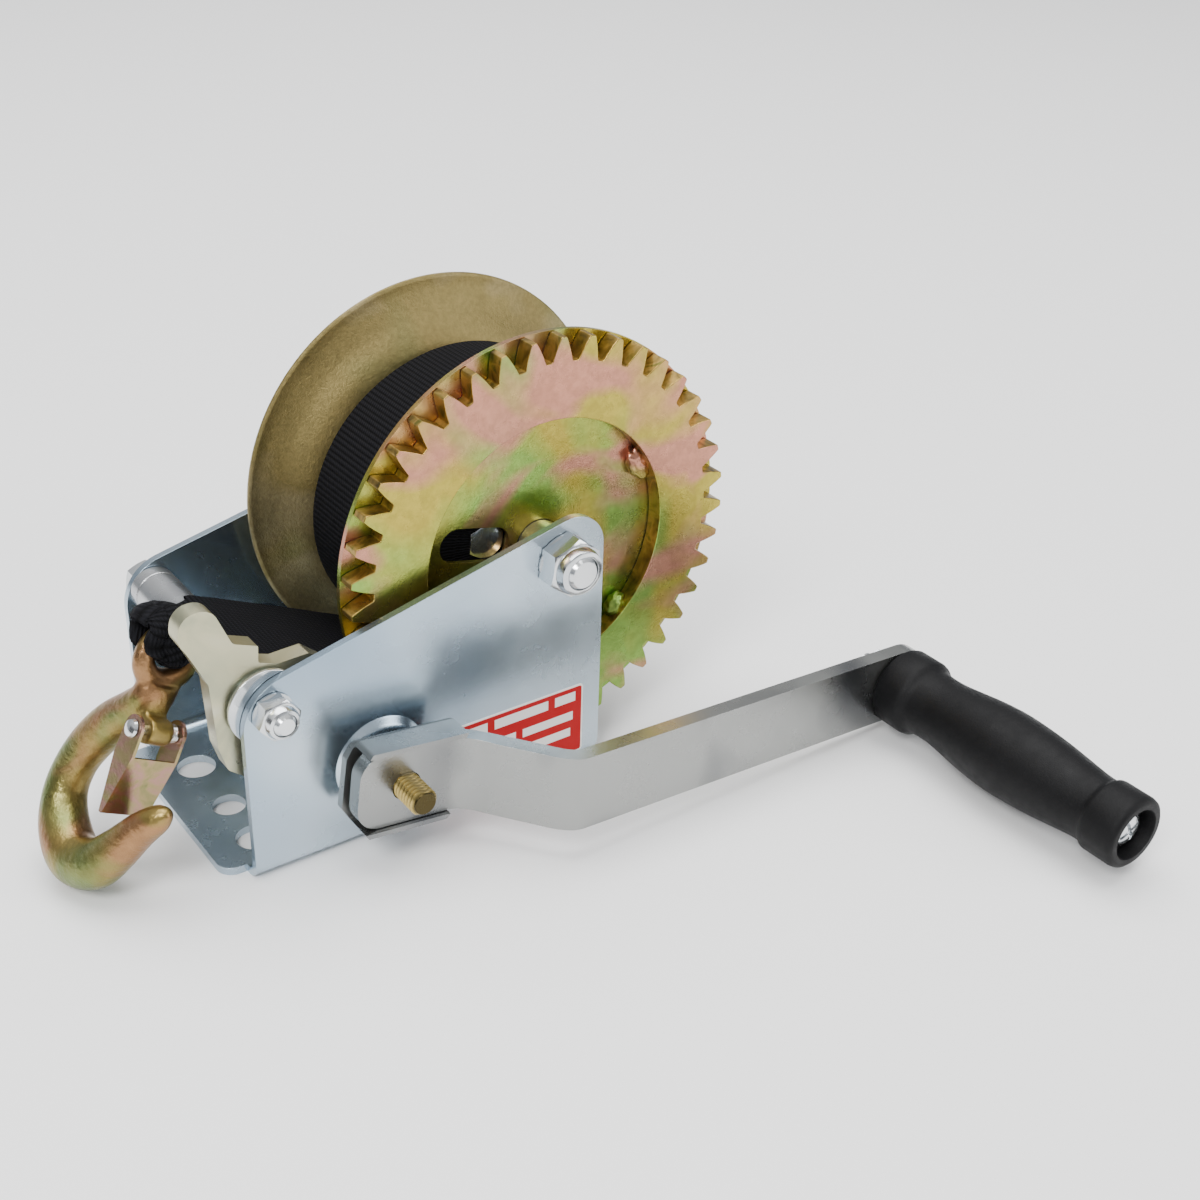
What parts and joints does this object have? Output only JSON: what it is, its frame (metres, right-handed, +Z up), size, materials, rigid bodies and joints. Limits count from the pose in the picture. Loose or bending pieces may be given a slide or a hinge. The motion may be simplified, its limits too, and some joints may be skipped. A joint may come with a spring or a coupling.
{
  "type": "boat trailer winch",
  "caption": "Hand winch with a webbing drum, spur gear drive, ratchet and pawl, offset crank with a turning grip, and a snap hook on its strap.",
  "frame": {"origin": "centre of the base plate's underside", "axes": "+X along the base away from the hook, +Y along the drum axle away from the gear and the crank, +Z up"},
  "size_m": [0.3218, 0.2709, 0.1664],
  "materials": {
    "zinc": "satin",
    "bright_zinc": "gloss",
    "arm_zinc": "satin",
    "yellow_zinc": "satin",
    "drum_zinc": "satin",
    "hook_zinc": "satin",
    "pawl_zinc": "satin",
    "webbing": "matte",
    "grip_plastic": "matte",
    "label_film": "satin"
  },
  "bodies": {
    "frame": {"frame": "zinc", "label": "label_film", "shaft_bushing_near": "zinc", "shaft_bushing_far": "zinc", "axle_bolt": "bright_zinc", "axle_nut": "bright_zinc", "axle_sleeve": "bright_zinc", "tie_bolt": "bright_zinc", "tie_nut": "bright_zinc", "tie_bush": "bright_zinc", "tie_tube": "bright_zinc", "pawl_washer": "bright_zinc", "pawl_shim": "zinc", "pawl_sleeve": "zinc", "pawl_spring": "bright_zinc", "strap_tail": "webbing"},
    "drum": {"gear_ring": "yellow_zinc", "drum_disc_near": "yellow_zinc", "drum_disc_far": "drum_zinc", "drum_core": "drum_zinc", "strap_anchor_bolt": "bright_zinc", "strap_anchor_nut": "bright_zinc", "strap_roll": "webbing"},
    "crank": {"drive_shaft": "yellow_zinc", "pinion": "yellow_zinc", "ratchet_wheel": "yellow_zinc", "shaft_spacer": "zinc", "shaft_clip": "zinc", "crank_bracket": "arm_zinc", "crank_washer": "zinc", "crank_arm": "arm_zinc", "grip_bolt": "bright_zinc", "grip_nut": "bright_zinc"},
    "grip": {"grip": "grip_plastic"},
    "pawl": {"pawl": "pawl_zinc"},
    "hook": {"hook": "hook_zinc", "latch_pin": "bright_zinc", "latch_spring": "bright_zinc"},
    "latch": {"latch": "pawl_zinc"}
  },
  "joints": [
    {"name": "drum_spin", "type": "hinge", "parent": "frame", "child": "drum", "pos_m": [0.0525, 0, 0.088], "axis": [0, 1, 0], "continuous": true},
    {"name": "crank_spin", "type": "hinge", "parent": "frame", "child": "crank", "pos_m": [-0.02183, -0.06, 0.03199], "axis": [0, 1, 0], "continuous": true},
    {"name": "grip_spin", "type": "hinge", "parent": "crank", "child": "grip", "pos_m": [0.17796, -0.15, 0.01924], "axis": [0, 1, 0], "continuous": true},
    {"name": "pawl_tilt", "type": "hinge", "parent": "frame", "child": "pawl", "pos_m": [-0.0598, -0.04, 0.0653], "axis": [0, -1, 0], "range_deg": [0, 25], "stiffness_Nm_per_rad": 0.15, "springref_deg": -20.05},
    {"name": "hook_swing", "type": "hinge", "parent": "frame", "child": "hook", "pos_m": [-0.0747, -0.01483, 0.0832], "axis": [0.8479, 0.113, -0.5179], "range_deg": [-10, 30]},
    {"name": "latch_open", "type": "hinge", "parent": "hook", "child": "latch", "pos_m": [-0.09012, -0.02601, 0.05552], "axis": [0.8479, 0.113, -0.5179], "range_deg": [0, 28], "stiffness_Nm_per_rad": 0.01, "springref_deg": -22.92}
  ],
  "couplings": [
    {"joint": "crank_spin", "follows": "drum_spin", "ratio": -4.1}
  ]
}
